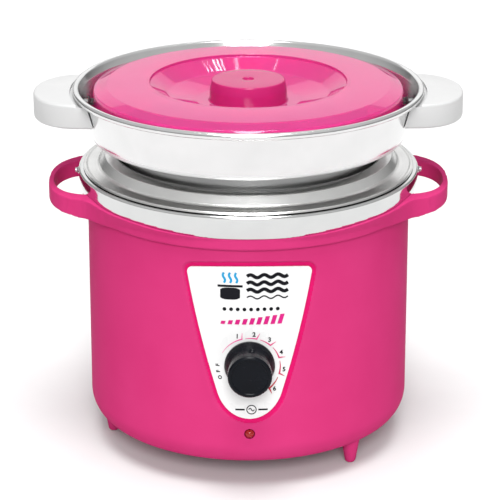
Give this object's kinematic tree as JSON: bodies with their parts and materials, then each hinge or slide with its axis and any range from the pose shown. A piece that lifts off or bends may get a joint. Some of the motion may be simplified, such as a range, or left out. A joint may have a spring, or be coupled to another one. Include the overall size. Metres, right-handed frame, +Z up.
{
  "type": "wax warmer pot",
  "caption": "Tabletop electric wax warmer: plastic housing with loop handles, heated well, lift-out pan with slab handles, see-through lid and a rotary heat control.",
  "frame": {"origin": "middle of the bounding box on the surface the feet stand on", "axes": "+X to the right seen from the front, +Y to the back, +Z up; the control knob faces -Y"},
  "size_m": [0.2342, 0.206, 0.2038],
  "materials": {
    "pink_plastic": "satin gloss moulded plastic",
    "clear_pink_plastic": "polished see-through plastic",
    "white_plastic": "smooth moulded plastic",
    "panel_white": "printed plate with a clear coat",
    "black_plastic": "satin moulded plastic",
    "lamp_red": "see-through lamp lens",
    "chrome": "polished",
    "aluminium": "spun and polished",
    "zinc_steel": "zinc plated",
    "brass": "machined",
    "mica": "pressed mica",
    "ceramic": "fired steatite",
    "wire_red": "insulated lead",
    "wire_blue": "insulated lead"
  },
  "bodies": {
    "base": {"base_plate": "zinc_steel", "base_screw_1": "zinc_steel", "base_screw_2": "zinc_steel", "base_screw_3": "zinc_steel", "collar": "chrome", "collar_screw_left": "zinc_steel", "collar_screw_right": "zinc_steel", "control_plate": "panel_white", "cord_gland": "black_plastic", "cord_gland_nut": "black_plastic", "foot_1": "pink_plastic", "foot_2": "pink_plastic", "foot_3": "pink_plastic", "foot_screw_1": "zinc_steel", "foot_screw_2": "zinc_steel", "foot_screw_3": "zinc_steel", "handle_ring": "pink_plastic", "heat_shield": "zinc_steel", "heated_well": "aluminium", "heater_clamp_plate": "zinc_steel", "heater_terminal_left": "brass", "heater_terminal_right": "brass", "heating_element": "mica", "housing": "pink_plastic", "pilot_lamp_holder": "ceramic", "pilot_lens": "lamp_red", "terminal_block": "ceramic", "thermal_fuse": "brass", "thermostat_body": "ceramic", "thermostat_nut": "zinc_steel", "tie_rod": "zinc_steel", "tie_rod_lower_nut": "zinc_steel", "tie_rod_upper_nut": "zinc_steel", "tie_rod_washer": "zinc_steel", "wire_from_element": "wire_blue", "wire_lamp_live": "wire_red", "wire_lamp_neutral": "wire_blue", "wire_live_in": "wire_red", "wire_neutral_in": "wire_blue", "wire_to_element": "wire_red", "wire_to_fuse": "wire_red", "wire_to_thermostat": "wire_red"},
    "knob": {"control_knob": "black_plastic", "thermostat_shaft": "brass"},
    "pan": {"wax_pan": "aluminium", "pan_handle_left": "white_plastic", "pan_handle_right": "white_plastic", "handle_screw_left": "zinc_steel", "handle_screw_right": "zinc_steel"},
    "lid": {"lid": "clear_pink_plastic"}
  },
  "joints": [
    {"name": "knob_turn", "type": "hinge", "parent": "base", "child": "knob", "pos_m": [0, -0.0852, 0.0727], "axis": [0, 1, 0], "range_deg": [-109, 136]},
    {"name": "pan_lift", "type": "slide", "parent": "base", "child": "pan", "axis": [0, 0, 1], "range_m": [0, 0.095]},
    {"name": "lid_lift", "type": "slide", "parent": "pan", "child": "lid", "axis": [0, 0, 1], "range_m": [0, 0.045]}
  ]
}
